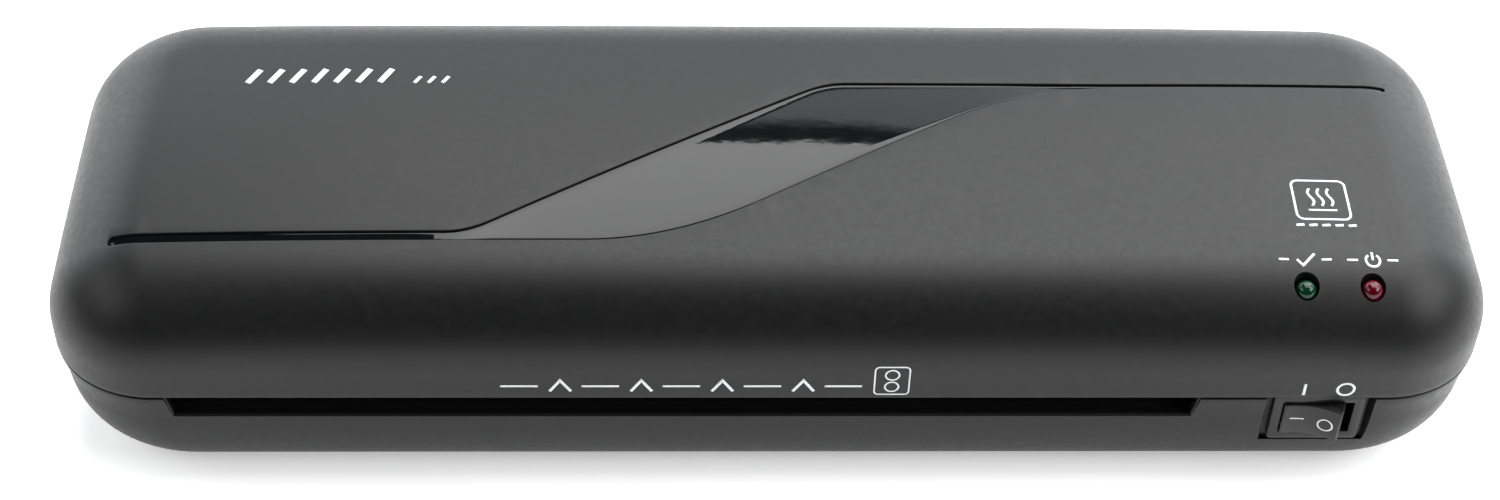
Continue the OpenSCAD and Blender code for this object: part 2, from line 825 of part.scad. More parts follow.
// Involute flank: angle swept at radius r from a base circle
function involute(r, base) = sqrt(pow(r / base, 2) - 1) * 180 / PI - acos(base / r);

// Spur gear outline with one tooth centred on the direction phase
module gear_outline(teeth, phase) {
    pitch_r = gear_module * teeth / 2;
    base_r = pitch_r * cos(pressure_angle);
    tip_r = pitch_r + gear_module * 0.9;
    root_r = pitch_r - gear_module * 1.2;
    half_tooth = 90 / teeth - backlash / pitch_r * 90 / PI + involute(pitch_r, base_r);
    flank = [for (i = [0:4]) let (r = mix(max(base_r, root_r), tip_r, i / 4))
        [r, half_tooth - involute(r, base_r)]];
    polygon([for (t = [0:teeth - 1]) let (a = phase + 360 * t / teeth) each concat(
        [[root_r * cos(a - half_tooth), root_r * sin(a - half_tooth)]],
        [for (p = flank) [p[0] * cos(a - p[1]), p[0] * sin(a - p[1])]],
        [for (i = [4:-1:0]) let (p = flank[i]) [p[0] * cos(a + p[1]), p[0] * sin(a + p[1])]],
        [[root_r * cos(a + half_tooth), root_r * sin(a + half_tooth)]])]);
}

module gear(teeth, phase, y, z, bore) {
    difference() {
        translate([0, y, z]) along_x(gear_x, gear_w) gear_outline(teeth, phase);
        rod_x(gear_x - 1, gear_w + 2, y, z, bore);
    }
}

module lower_roller_gear() {
    color([0.86, 0.86, 0.84]) gear(roller_teeth, 90 - 360 / roller_teeth * 4, roller_y, lower_z,
        shaft_r);
}

module upper_roller_gear() {
    color([0.86, 0.86, 0.84]) gear(roller_teeth, 180 / roller_teeth - 90, roller_y, upper_z,
        shaft_r);
}

module motor_pinion() {
    color([0.8, 0.66, 0.35]) gear(pinion_teeth, pinion_dir + 180 - 180 / pinion_teeth, pinion_y,
        pinion_z, shaft_r);
}

module motor_shaft() {
    color(steel) rod_x(gear_x - 0.8, motor_x + 8 - gear_x, pinion_y, pinion_z, shaft_r);
}

// Ears stand on opposite corners of the motor, on the bracket's face
ears = [for (s = [-1, 1]) [motor_y + s * ear_dist * sqrt(0.5), motor_z - s * ear_dist * sqrt(0.5)]];

module motor_bracket() {
    color(steel) {
        difference() {
            along_x(bracket_x, bracket_t) polygon([[-8, 6.5], [46, 6.5], [47, 14], [38, 30],
                [30, 50], [8, 53], [-8, 53]]);
            rod_x(bracket_x - 1, bracket_t + 2, pinion_y, pinion_z, 5);
            for (p = ears) rod_x(bracket_x - 1, bracket_t + 2, p[0], p[1], 1.5);
        }
        for (p = bracket_posts)
            rod_x(plate_right + plate_t, bracket_x - plate_right - plate_t + 0.1, p[0], p[1], 2.5);
    }
}

module gear_motor() {
    color([0.66, 0.67, 0.68]) difference() {
        union() {
            rod_x(motor_x, motor_len, motor_y, motor_z, motor_r);
            rod_x(motor_x + motor_len, 1.5, motor_y, motor_z, motor_r - 6);
            for (p = ears) rod_x(motor_x, 1.2, p[0], p[1], 4.5);
        }
        rod_x(motor_x - 1, 10, pinion_y, pinion_z, shaft_r + running_gap);
        for (p = ears) rod_x(motor_x - 1, 4, p[0], p[1], 1.5);
    }
}

module motor_screws() {
    color(plated) for (p = ears) {
        rod_x(bracket_x - 0.8, 4.2, p[0], p[1], 1.5);
        translate([bracket_x - 2, p[0], p[1]]) rotate([0, 90, 0]) pan_head(3, 2);
    }
}

top_cover();
bottom_case();
gloss_inlay();
ready_lamp();
power_lamp();
lamp_board();
board_screws();
switch_housing();
switch_rocker();
switch_terminals();
rubber_feet();
case_screws();
cord_gland();
entry_guide_lower();
entry_guide_upper();
exit_guide_lower();
exit_guide_upper();
frame_left();
frame_right();
frame_screws();
tie_rods();
lower_heater_plate();
upper_heater_plate();
lower_heater_strip();
upper_heater_strip();
thermostat();
thermal_fuse();
lower_bushes();
upper_bearings();
bearing_springs();
lower_roller_shaft();
lower_roller_sleeve();
lower_roller_gear();
lower_shaft_clips();
upper_roller_shaft();
upper_roller_sleeve();
upper_roller_gear();
upper_shaft_clips();
motor_bracket();
gear_motor();
motor_shaft();
motor_pinion();
motor_screws();
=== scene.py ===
"""Looks of the desktop pouch laminator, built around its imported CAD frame.

Lengths in this script are millimetres until a mesh is made, and X runs along the machine,
Y runs back and Z is up, as in the frame.
"""
import json
import math

import bmesh
import bpy
from mathutils import Matrix, Vector
from mathutils.bvhtree import BVHTree


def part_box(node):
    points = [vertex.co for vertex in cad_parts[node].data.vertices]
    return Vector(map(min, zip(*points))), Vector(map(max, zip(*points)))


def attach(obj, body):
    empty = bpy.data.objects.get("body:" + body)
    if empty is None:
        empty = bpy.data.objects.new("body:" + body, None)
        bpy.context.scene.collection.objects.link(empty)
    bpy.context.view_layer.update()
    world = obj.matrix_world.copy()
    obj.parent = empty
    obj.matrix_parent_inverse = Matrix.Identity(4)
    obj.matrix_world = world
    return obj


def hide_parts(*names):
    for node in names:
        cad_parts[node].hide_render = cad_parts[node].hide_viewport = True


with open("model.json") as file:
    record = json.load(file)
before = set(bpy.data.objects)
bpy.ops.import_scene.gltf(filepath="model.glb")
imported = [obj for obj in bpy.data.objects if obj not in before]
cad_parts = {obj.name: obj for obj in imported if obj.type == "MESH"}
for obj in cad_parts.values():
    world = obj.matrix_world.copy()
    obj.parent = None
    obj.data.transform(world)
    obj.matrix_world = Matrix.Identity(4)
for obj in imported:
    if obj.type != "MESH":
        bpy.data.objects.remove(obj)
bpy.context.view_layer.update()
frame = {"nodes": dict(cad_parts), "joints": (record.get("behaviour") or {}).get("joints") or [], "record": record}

MM = 0.001
scene = bpy.context.scene


def node_box(node):
    """Lowest and highest corner of a CAD node, in millimetres."""
    low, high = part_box(node)
    return low / MM, high / MM


def middle_of(low, high):
    return [(a + b) / 2 for a, b in zip(low, high)]


# ---------- sizes taken from the frame ----------

cover_high = node_box("top_cover")[1]
case_low, case_high = node_box("bottom_case")
HALF_W = cover_high.x
HALF_D = cover_high.y
TOP_Z = round(cover_high.z, 1)
SEAM_GAP = 0.5
TONGUE_H = 1.3
SEAM_Z = round(case_high.z - TONGUE_H + SEAM_GAP / 2, 2)
BASE_Z = case_low.z
WALL = 2.2

# Edge roundings: how far in they start, and how far down
SIDE_ROUND = (23.0, 23.8)
FRONT_ROUND = (19.0, 21.0)
BACK_ROUND = (21.6, 19.8)
BASE_ROUND = (11.0, 21.5)
BASE_LEAN_SIDE = 1.3
BASE_LEAN_FRONT = 0.5
CORNER_FRONT = 25.4
CORNER_BACK = 28.8
CROWN_DEPTH = 4.0
CROWN_END = 2.3
RIM = 0.35

# Mesh steps: along the ends, round a corner, along the long walls, up an edge
END_STEPS = 12
CORNER_STEPS = 24
LONG_STEPS = 96
EDGE_STEPS = 30

# Pouch slot and switch pocket
SLOT_LEFT = -136.8
SLOT_RIGHT = 96.4
SLOT_Z = 23.9
SLOT_LEAN = 1.4
POCKET_W = 25.0
POCKET_Z = 14.3
POCKET_DEPTH = 2.7
POCKET_TAPER = 0.9

# How far the cutters of wall openings start outside the case, and end inside it
CUT_OUT = 5
CUT_IN = 7

# Holes: lamps, gland, feet, screws and the vents in the base
LAMP_HOLE_R = 2.9
GLAND_R = 6.0
FOOT_HOLE_R = 6.6
SCREW_HOLE_R = 3.2
VENT_REACH = 90
VENT_PITCH = 12
VENT_Y = 18

# Lamp dome, and the height its collar stands on
LAMP_R = 2.4
LAMP_FOOT_Z = 47.6

# Rocker: turned by this much at rest, and its lower and upper end
ROCKER_TILT = -12
ROCKER_LOW = 17.9
ROCKER_HIGH = 27.3

# Start angle of each quarter turn round a rounded rectangle, with the corner's two signs
CORNERS = ((1, 1, 0), (-1, 1, 90), (-1, -1, 180), (1, -1, 270))

# Gloss inlay: low line, high line, and where the slope between them crosses Y = 0.
# Past INLAY_RISE_FROM the high line rises gently.
INLAY_SLOPE = 0.6
INLAY_BACK = (-30.8, 18.6, -17.8)
INLAY_FRONT = (-33.3, 17.4, 32.7)
INLAY_RISE = 0.018
INLAY_RISE_FROM = 80.0
INLAY_BACK_BLEND = 3.0
INLAY_FRONT_BLEND = 12.0
INLAY_DEPTH = 1.3

inlay_low, inlay_high = node_box("gloss_inlay")
INLAY_LEFT = inlay_low.x - 0.12
INLAY_RIGHT = inlay_high.x + 0.12


def mix(a, b, t):
    return a + (b - a) * t


def smooth(a, b, x):
    t = min(1.0, max(0.0, (x - a) / (b - a)))
    return t * t * (3 - 2 * t)


# ---------- outline and surface of the case ----------

def edge_inset(z, top_z, rounding):
    """How far an elliptical edge rounding has moved in at height z."""
    if z <= top_z - rounding[1]:
        return 0.0
    up = (z - top_z + rounding[1]) / rounding[1]
    return rounding[0] * (1 - math.sqrt(max(0.0, 1 - up * up)))


def edge_drop(distance, rounding):
    """How far the surface has fallen at a distance inside an edge."""
    if distance >= rounding[0]:
        return 0.0
    t = 1 - max(distance, 0.0) / rounding[0]
    return rounding[1] * (1 - math.sqrt(max(0.0, 1 - t * t)))


def arc(cx, cy, r, start):
    turns = [math.radians(start + 90 * i / CORNER_STEPS) for i in range(CORNER_STEPS)]
    return [(cx + r * math.cos(a), cy + r * math.sin(a)) for a in turns]


def line(p, q, steps):
    return [(mix(p[0], q[0], i / steps), mix(p[1], q[1], i / steps)) for i in range(steps)]


def plan(hx, yf, yb, rf, rb):
    """Rounded rectangle, anticlockwise from the front of the right end."""
    return (line((hx, yf + rf), (hx, yb - rb), END_STEPS)
            + arc(hx - rb, yb - rb, rb, 0)
            + line((hx - rb, yb), (rb - hx, yb), LONG_STEPS)
            + arc(rb - hx, yb - rb, rb, 90)
            + line((-hx, yb - rb), (-hx, yf + rf), END_STEPS)
            + arc(rf - hx, yf + rf, rf, 180)
            + line((rf - hx, yf), (hx - rf, yf), LONG_STEPS)
            + arc(hx - rf, yf + rf, rf, 270))


def crown_fall(x, y):
    return CROWN_DEPTH * (y / HALF_D) ** 2 + CROWN_END * (x / HALF_W) ** 4


def crowned(x, y, z):
    share = min(1.0, max(0.0, (z - SEAM_Z) / (TOP_Z - SEAM_Z)))
    return (x, y, z - crown_fall(x, y) * share)


def cover_top(x, y):
    """Height of the cover's outer surface over a point of its plan, away from the corners."""
    drop = max(edge_drop(HALF_W - abs(x), SIDE_ROUND), edge_drop(HALF_D + y, FRONT_ROUND),
               edge_drop(HALF_D - y, BACK_ROUND))
    return crowned(x, y, TOP_Z - drop)[2]


def cover_ring(z, off):
    side, front, back = (
        edge_inset(z, TOP_Z - off, (r[0] - off, r[1] - off))
        for r in (SIDE_ROUND, FRONT_ROUND, BACK_ROUND))
    return [crowned(x, y, z) for x, y in plan(
        HALF_W - off - side, front - HALF_D + off, HALF_D - off - back,
        max(CORNER_FRONT - off - side, 1.5), max(CORNER_BACK - off - side, 1.5))]


def case_ring(z, off):
    top_of_round = BASE_Z + BASE_ROUND[1]
    lean = min(1.0, (SEAM_Z - z) / (SEAM_Z - top_of_round))
    up = max(0.0, min(1.0, (top_of_round - z) / (BASE_ROUND[1] - off)))
    turn = (BASE_ROUND[0] - off) * (1 - math.sqrt(1 - up * up))
    front = off + lean * BASE_LEAN_FRONT + turn
    return [(x, y, z) for x, y in plan(
        HALF_W - off - lean * BASE_LEAN_SIDE - turn, front - HALF_D, HALF_D - front,
        CORNER_FRONT - off, CORNER_BACK - off)]


# ---------- mesh making ----------

def piece(name, verts, faces, body, material, replaces=(), sharp=35, flat=False):
    """A mesh object in metres from millimetre points, riding on a CAD body."""
    mesh = bpy.data.meshes.new(name)
    mesh.from_pydata([Vector(v) * MM for v in verts], [], faces)
    mesh.validate()
    obj = bpy.data.objects.new(name, mesh)
    scene.collection.objects.link(obj)
    finish_mesh(obj, sharp, flat)
    mesh.materials.append(material)
    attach(obj, body)
    if replaces:
        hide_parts(*replaces)
    return obj


def finish_mesh(obj, sharp=35, flat=False):
    """Consistent normals, and smooth shading that breaks at sharp edges."""
    bm = bmesh.new()
    bm.from_mesh(obj.data)
    bmesh.ops.remove_doubles(bm, verts=bm.verts, dist=1e-7)
    bmesh.ops.recalc_face_normals(bm, faces=bm.faces)
    bm.to_mesh(obj.data)
    bm.free()
    if not flat:
        obj.data.shade_smooth()
        obj.data.set_sharp_from_angle(angle=math.radians(sharp))


def apply_modifiers(obj):
    """Bakes an object's modifiers into its mesh."""
    evaluated = obj.evaluated_get(bpy.context.evaluated_depsgraph_get())
    baked = bpy.data.meshes.new_from_object(evaluated)
    obj.modifiers.clear()
    old = obj.data
    obj.data = baked
    bpy.data.meshes.remove(old)


def cut(obj, cutters, sharp=35):
    """Takes closed cutter meshes, given as (points, faces) in millimetres, out of a piece."""
    helpers = []
    for i, (verts, faces) in enumerate(cutters):
        mesh = bpy.data.meshes.new("cutter")
        mesh.from_pydata([Vector(v) * MM for v in verts], [], faces)
        helper = bpy.data.objects.new(f"cutter_{i}", mesh)
        scene.collection.objects.link(helper)
        finish_mesh(helper, flat=True)
        helpers.append(helper)
        modifier = obj.modifiers.new("cut", "BOOLEAN")
        modifier.operation = "DIFFERENCE"
        modifier.solver = "MANIFOLD"
        modifier.object = helper
    apply_modifiers(obj)
    for helper in helpers:
        bpy.data.objects.remove(helper)
    obj.data.shade_smooth()
    obj.data.set_sharp_from_angle(angle=math.radians(sharp))


def skin(rings, cap_first=True, cap_last=True):
    """Points and faces of a closed skin through rings of equal count."""
    n = len(rings[0])
    verts = [p for ring in rings for p in ring]
    faces = []
    for k in range(len(rings) - 1):
        a, b = k * n, (k + 1) * n
        faces += [(a + i, a + (i + 1) % n, b + (i + 1) % n, b + i) for i in range(n)]
    if cap_first:
        faces.append(tuple(range(n)))
    if cap_last:
        faces.append(tuple(len(verts) - 1 - i for i in range(n)))
    return verts, faces


def ring_circle(cx, cy, z, r, steps=48):
    turns = [2 * math.pi * i / steps for i in range(steps)]
    return [(cx + r * math.cos(a), cy + r * math.sin(a), z) for a in turns]


def lathe(cx, cy, profile, steps=48):
    """Skin turned about a vertical axis from (radius, height) pairs."""
    return skin([ring_circle(cx, cy, z, r, steps) for r, z in profile])


def cap_grid(verts, faces, start, height):
    """Fills the ring that begins at point start with a grid whose heights follow height(x, y)."""
    i_front_left = 2 * END_STEPS + 3 * CORNER_STEPS + LONG_STEPS
    i_back_left = END_STEPS + CORNER_STEPS + LONG_STEPS
    across = 2 * CORNER_STEPS + END_STEPS
    count = 2 * END_STEPS + 4 * CORNER_STEPS + 2 * LONG_STEPS
    front = [start + (i_front_left + k) % count for k in range(LONG_STEPS + 1)]
    back = [start + i_back_left - k for k in range(LONG_STEPS + 1)]
    left = [start + i_front_left - k for k in range(across + 1)]
    right = [start + (i_front_left + LONG_STEPS + k) % count for k in range(across + 1)]
    grid = {}
    for i in range(LONG_STEPS + 1):
        grid[i, 0] = front[i]
        grid[i, across] = back[i]
    for j in range(across + 1):
        grid[0, j] = left[j]
        grid[LONG_STEPS, j] = right[j]
    for i in range(1, LONG_STEPS):
        u = i / LONG_STEPS
        for j in range(1, across):
            v = (verts[left[j]][1] - verts[left[0]][1]) / (verts[left[-1]][1] - verts[left[0]][1])
            xy = []
            for axis in (0, 1):
                ends = mix(verts[left[j]][axis], verts[right[j]][axis], u)
                rails = mix(verts[front[i]][axis], verts[back[i]][axis], v)
                corners = mix(mix(verts[left[0]][axis], verts[right[0]][axis], u),
                              mix(verts[left[-1]][axis], verts[right[-1]][axis], u), v)
                xy.append(ends + rails - corners)
            grid[i, j] = len(verts)
            verts.append((xy[0], xy[1], height(*xy)))
    for i in range(LONG_STEPS):
        for j in range(across):
            faces.append((grid[i, j], grid[i + 1, j], grid[i + 1, j + 1], grid[i, j + 1]))


# ---------- materials ----------

class Nodes:
    """Short way to build a node tree for one material."""

    def __init__(self, name):
        self.material = bpy.data.materials.new(name)
        self.material.use_nodes = True
        self.tree = self.material.node_tree
        self.shader = self.tree.nodes["Principled BSDF"]
        coordinates = self.tree.nodes.new("ShaderNodeTexCoord")
        self.place = coordinates.outputs["Object"]

    def add(self, kind, **values):
        node = self.tree.nodes.new(kind)
        for key, value in values.items():
            if hasattr(node, key):
                setattr(node, key, value)
            else:
                node.inputs[key.replace("_", " ")].default_value = value
        return node

    def link(self, source, target):
        self.tree.links.new(source, target)

    def noise(self, size, detail=2.0, roughness=0.5, stretch=(1, 1, 1)):
        """Noise whose features are about size millimetres across."""
        mapping = self.add("ShaderNodeMapping")
        mapping.inputs["Scale"].default_value = stretch
        self.link(self.place, mapping.inputs["Vector"])
        node = self.add("ShaderNodeTexNoise", Scale=1 / (size * MM), Detail=detail,
                        Roughness=roughness)
        self.link(mapping.outputs["Vector"], node.inputs["Vector"])
        return node.outputs["Fac"]

    def span(self, source, low, high, from_low=0.0, from_high=1.0):
        node = self.add("ShaderNodeMapRange")
        for key, value in (("From Min", from_low), ("From Max", from_high),
                           ("To Min", low), ("To Max", high)):
            node.inputs[key].default_value = value
        self.link(source, node.inputs["Value"])
        return node.outputs["Result"]

    def blend(self, factor, low, high):
        node = self.add("ShaderNodeMix", data_type="RGBA")
        self.link(factor, node.inputs["Factor"])
        for socket, colour in (("A", low), ("B", high)):
            target = [s for s in node.inputs if s.name == socket and s.type == "RGBA"][0]
            if isinstance(colour, tuple):
                target.default_value = (*colour, 1)
            else:
                self.link(colour, target)
        return [s for s in node.outputs if s.type == "RGBA"][0]

    def bump(self, source, depth, strength=1.0, below=None):
        node = self.add("ShaderNodeBump", Strength=strength, Distance=depth * MM)
        self.link(source, node.inputs["Height"])
        if below is not None:
            self.link(below, node.inputs["Normal"])
        return node.outputs["Normal"]

    def edges(self, low, high):
        """0 on flat ground, 1 on outer edges."""
        geometry = self.add("ShaderNodeNewGeometry")
        return self.span(geometry.outputs["Pointiness"], 0.0, 1.0, low, high)

    def use(self, socket, source):
        self.link(source, self.shader.inputs[socket])

    def set(self, **values):
        for key, value in values.items():
            self.shader.inputs[key.replace("_", " ")].default_value = value


def moulded_plastic(name, dark, light, rough, grain, depth, wear, specular=0.5, mottle=6.0):
    """Moulded plastic: cloudy colour, spark-eroded grain, and edges rubbed slightly shinier."""
    n = Nodes(name)
    cloud = n.noise(mottle, 3)
    grains = n.noise(grain, 3, 0.6)
    colour = n.blend(cloud, dark, light)
    worn = n.blend(n.edges(0.53, 0.6), colour, wear)
    n.use("Base Color", worn)
    n.use("Roughness", n.span(n.noise(grain * 5, 2), rough - 0.04, rough + 0.04, 0.3, 0.7))
    coarse = n.bump(n.noise(grain * 3.5, 2), depth * 0.6)
    n.use("Normal", n.bump(grains, depth, below=coarse))
    n.set(Specular_IOR_Level=specular)
    return n.material


def piano_black(name):
    """High-gloss moulding with a faint orange peel and fine hairlines."""
    n = Nodes(name)
    n.use("Base Color", n.blend(n.noise(8, 2), (0.002, 0.0022, 0.0024), (0.004, 0.0043, 0.0046)))
    hairs = n.noise(0.25, 2, 0.5, (0.06, 1, 1))
    n.use("Roughness", n.span(hairs, 0.02, 0.07, 0.35, 0.75))
    ripple = n.bump(n.noise(5.0, 1), 0.014)
    n.use("Normal", n.bump(n.noise(1.5, 2), 0.004, below=ripple))
    n.set(Specular_IOR_Level=0.27)
    return n.material


def rubber(name):
    n = Nodes(name)
    n.use("Base Color", n.blend(n.noise(2, 3), (0.012, 0.012, 0.012), (0.022, 0.021, 0.02)))
    n.use("Roughness", n.span(n.noise(0.6, 2), 0.6, 0.8))
    n.use("Normal", n.bump(n.noise(0.25, 3), 0.02))
    return n.material


def metal(name, dark, light, rough, streak, size=0.4):
    """Rolled or turned metal with fine streaks along one direction."""
    n = Nodes(name)
    lines = n.noise(size, 3, 0.6, streak)
    n.use("Base Color", n.blend(lines, dark, light))
    n.use("Roughness", n.span(lines, rough - 0.08, rough + 0.08, 0.3, 0.7))
    n.use("Normal", n.bump(lines, 0.006))
    n.set(Metallic=1.0)
    return n.material


def lens(name, dark, light):
    """Deep-tinted glossy moulding of a lamp."""
    n = Nodes(name)
    n.use("Base Color", n.blend(n.noise(1.5, 2), dark, light))
    n.use("Roughness", n.span(n.noise(0.8, 2), 0.03, 0.08))
    n.set(Specular_IOR_Level=0.35)
    return n.material


def printed_white(name):
    """Pad-printed ink: slightly uneven cover over the grain below."""
    n = Nodes(name)
    n.use("Base Color", n.blend(n.noise(0.5, 3), (0.55, 0.56, 0.58), (0.78, 0.79, 0.8)))
    n.use("Roughness", n.span(n.noise(0.3, 2), 0.42, 0.6))
    n.use("Normal", n.bump(n.noise(0.3, 2), 0.01))
    return n.material


CASE_BLACK = moulded_plastic("case_black", (0.0031, 0.0032, 0.0036), (0.0043, 0.0045, 0.005),
                             0.44, 0.32, 0.016, (0.009, 0.009, 0.0095), 0.27)
SWITCH_BLACK = moulded_plastic("switch_black", (0.005, 0.005, 0.0054), (0.0068, 0.0068, 0.0072),
                               0.36, 0.25, 0.008, (0.013, 0.013, 0.0135), 0.3)
GUIDE_BLACK = moulded_plastic("guide_plastic", (0.009, 0.009, 0.0095), (0.013, 0.013, 0.013),
                              0.4, 0.3, 0.01, (0.02, 0.02, 0.02))
NYLON = moulded_plastic("nylon", (0.6, 0.57, 0.48), (0.72, 0.69, 0.6), 0.42, 0.3, 0.01,
                        (0.78, 0.76, 0.7))
CERAMIC = moulded_plastic("ceramic_white", (0.7, 0.68, 0.62), (0.8, 0.78, 0.74), 0.5, 0.2, 0.01,
                          (0.85, 0.84, 0.8))
MICA = moulded_plastic("heater_mica", (0.42, 0.32, 0.18), (0.6, 0.5, 0.32), 0.45, 0.8, 0.02,
                       (0.66, 0.56, 0.4))
BOARD = moulded_plastic("board_green", (0.01, 0.09, 0.035), (0.015, 0.13, 0.05), 0.3, 0.6, 0.01,
                        (0.25, 0.2, 0.1))
SILICONE = moulded_plastic("silicone_red", (0.26, 0.05, 0.03), (0.34, 0.075, 0.05), 0.62, 0.4,
                           0.02, (0.4, 0.1, 0.07))
GLOSS = piano_black("inlay_black")
RUBBER = rubber("rubber_black")
STEEL_SHEET = metal("sheet_steel", (0.42, 0.43, 0.44), (0.6, 0.61, 0.62), 0.35, (1, 0.05, 0.05))
STEEL_BRIGHT = metal("bright_steel", (0.5, 0.51, 0.53), (0.68, 0.69, 0.7), 0.25, (1, 0.1, 0.1))
STEEL_SCREW = metal("screw_steel", (0.35, 0.35, 0.36), (0.55, 0.55, 0.54), 0.32, (1, 1, 1))
BRASS = metal("brass_contact", (0.55, 0.42, 0.17), (0.75, 0.6, 0.28), 0.3, (1, 0.2, 1))
ALUMINIUM = metal("heater_aluminium", (0.6, 0.61, 0.62), (0.76, 0.77, 0.78), 0.38, (0.03, 1, 1))
MOTOR_CAN = metal("motor_can", (0.42, 0.43, 0.45), (0.56, 0.57, 0.59), 0.4, (1, 0.3, 0.3))
LENS_GREEN = lens("lamp_green", (0.0, 0.016, 0.008), (0.001, 0.024, 0.012))
LENS_RED = lens("lamp_red", (0.05, 0.0, 0.004), (0.075, 0.001, 0.007))
INK = printed_white("ink_white")

SLOT_MATERIALS = {
    "case_black": CASE_BLACK, "inlay_black": GLOSS, "lamp_green": LENS_GREEN,
    "lamp_red": LENS_RED, "board_green": BOARD, "switch_black": SWITCH_BLACK,
    "rubber_black": RUBBER, "guide_plastic": GUIDE_BLACK, "bush_nylon": NYLON,
    "gear_nylon": NYLON, "brass_contact": BRASS, "sheet_steel": STEEL_SHEET,
    "bright_steel": STEEL_BRIGHT, "screw_steel": STEEL_SCREW, "heater_aluminium": ALUMINIUM,
    "heater_mica": MICA, "ceramic_white": CERAMIC, "silicone_red": SILICONE,
    "motor_can": MOTOR_CAN}


# ---------- cover ----------

def inlay_line(x, edge, blend):
    """Low line, slope and gently rising high line joined by parabolic blends."""
    def high_of(a, b):
        return max(a, b) + max(blend - abs(a - b), 0.0) ** 2 / (4 * blend)
    high = edge[1] + INLAY_RISE * max(0.0, x - INLAY_RISE_FROM)
    return -high_of(-high_of(edge[0], INLAY_SLOPE * (x - edge[2])), -high)


def inlay_edges(x):
    """Front and back edge of the inlay at x; both ends of the strip are round."""
    front = inlay_line(x, INLAY_FRONT, INLAY_FRONT_BLEND)
    back = inlay_line(x, INLAY_BACK, INLAY_BACK_BLEND)
    middle, half = (front + back) / 2, (back - front) / 2
    inside = min(x - INLAY_LEFT, INLAY_RIGHT - x)
    if inside < half:
        half *= math.sqrt(max(0.0, 1 - (1 - inside / half) ** 2))
    half = max(half, 0.02)
    return middle - half, middle + half


def inlay_stations():
    """Places along the inlay, closer together near its two round ends."""
    tip, step = 2.0, 1.0
    xs = [INLAY_LEFT + tip * (i / 12) ** 2 for i in range(12)]
    count = round((INLAY_RIGHT - INLAY_LEFT - 2 * tip) / step)
    xs += [INLAY_LEFT + tip + step * i * (INLAY_RIGHT - INLAY_LEFT - 2 * tip) / (count * step)
           for i in range(count)]
    xs += [INLAY_RIGHT - tip * (i / 12) ** 2 for i in range(12, -1, -1)]
    return xs


def strip_skin(rows):
    """Closed skin along the inlay; rows(x) gives one closed loop of (y, z) at a station."""
    rings = [[(x, y, z) for y, z in rows(x)] for x in inlay_stations()]
    return skin(rings)


def recess_rows(x):
    """Cross-section of the recess cutter, with a small rounded lip where it leaves the cover."""
    front, back = inlay_edges(x)
    lip = [(0.0, -INLAY_DEPTH), (0.0, -0.3), (0.06, -0.13), (0.2, -0.02), (0.45, 0.03), (0.5, 2.0)]
    left = [(front - out, cover_top(x, front - out) + up) for out, up in lip]
    right = [(back + out, cover_top(x, back + out) + up) for out, up in lip]
    return left[::-1] + right


# Rounded-over edge: share of its width from the outside, and how far it has dropped there
EDGE_PROFILE = ((0.0, 0.3), (0.1, 0.17), (0.35, 0.06), (0.65, 0.015), (1.0, 0.0))


# Raised rim along the back edge: share of its width from the outside, and height
RIM_PROFILE = ((0.0, -0.2), (0.06, 0.02), (0.2, 0.08), (0.5, 0.05), (1.0, 0.0))


def tail_share(x):
    """1 along the narrow left tail, 0 over the wide middle."""
    return 1 - smooth(-84, -60, x)


def inlay_level(x, across):
    """Height of the gloss surface against the cover: deep in the tails, level at the front."""
    groove = smooth(52, 80, x)
    body = mix(-0.1, -0.5, across)
    return mix(mix(body, -0.8, groove), mix(-1.24, -0.6, across), tail_share(x))


def inlay_rows(x):
    """Cross-section of the gloss inlay: rounded front edge, slightly raised rim at the back."""
    front, back = inlay_edges(x)
    gap = min(0.12, (back - front) * 0.1)
    front, back = front + gap, back - gap
    edge = min(0.35, (back - front) * 0.3)
    rim = min(mix(0.9, 0.15, tail_share(x)), (back - front) * 0.3)
    rim_height = 1 - tail_share(x)
    bottom = -INLAY_DEPTH + 0.02
    rows = []
    for share, sink in EDGE_PROFILE:
        rows.append((front + edge * share, max(inlay_level(x, 0) - sink, bottom + 0.03)))
    steps = 14
    for i in range(1, steps):
        v = i / steps
        rows.append((mix(front + edge, back - rim, v), inlay_level(x, v)))
    for share, rise in reversed(RIM_PROFILE):
        up = inlay_level(x, 1) + (rise * rim_height if rise > 0 else rise)
        rows.append((back - rim * share, max(up, bottom + 0.03)))
    rows = [(front, bottom)] + rows + [(back, bottom)]
    return [(y, cover_top(x, y) + up) for y, up in rows]


def build_cover():
    """Outer and inner skin of the cover with a rounded rim, the inlay's recess and lamp holes."""
    outer_h, inner_h = SIDE_ROUND[1], SIDE_ROUND[1] - WALL
    rim_z = SEAM_Z + SEAM_GAP / 2
    turns = [math.radians(90 * i / EDGE_STEPS) for i in range(EDGE_STEPS + 1)]
    rings = [cover_ring(TOP_Z - outer_h * (1 - math.sin(a)), 0) for a in reversed(turns)]
    rings.append(cover_ring(rim_z + 2, 0))
    for share in (0, 30, 60, 90):
        a = math.radians(share)
        rings.append(cover_ring(rim_z + RIM * (1 - math.sin(a)), RIM * (1 - math.cos(a))))
    rings.append(cover_ring(rim_z, WALL))
    rings += [cover_ring(TOP_Z - WALL - inner_h * (1 - math.sin(a)), WALL)
              for a in turns[::3]]
    verts, faces = skin(rings, False, False)
    count = len(rings[0])
    cap_grid(verts, faces, 0, lambda x, y: crowned(x, y, TOP_Z)[2])
    cap_grid(verts, faces, len(rings) * count - count,
             lambda x, y: crowned(x, y, TOP_Z - WALL)[2])
    cover = piece("cover_shell", verts, faces, "chassis", CASE_BLACK,
                  ("top_cover",))
    cutters = [strip_skin(recess_rows)]
    for lamp in ("ready_lamp", "power_lamp"):
        x, y, _ = middle_of(*node_box(lamp))
        cutters.append(lathe(x, y, [(LAMP_HOLE_R, 48), (LAMP_HOLE_R, 62)], 64))
    cut(cover, cutters)
    return cover


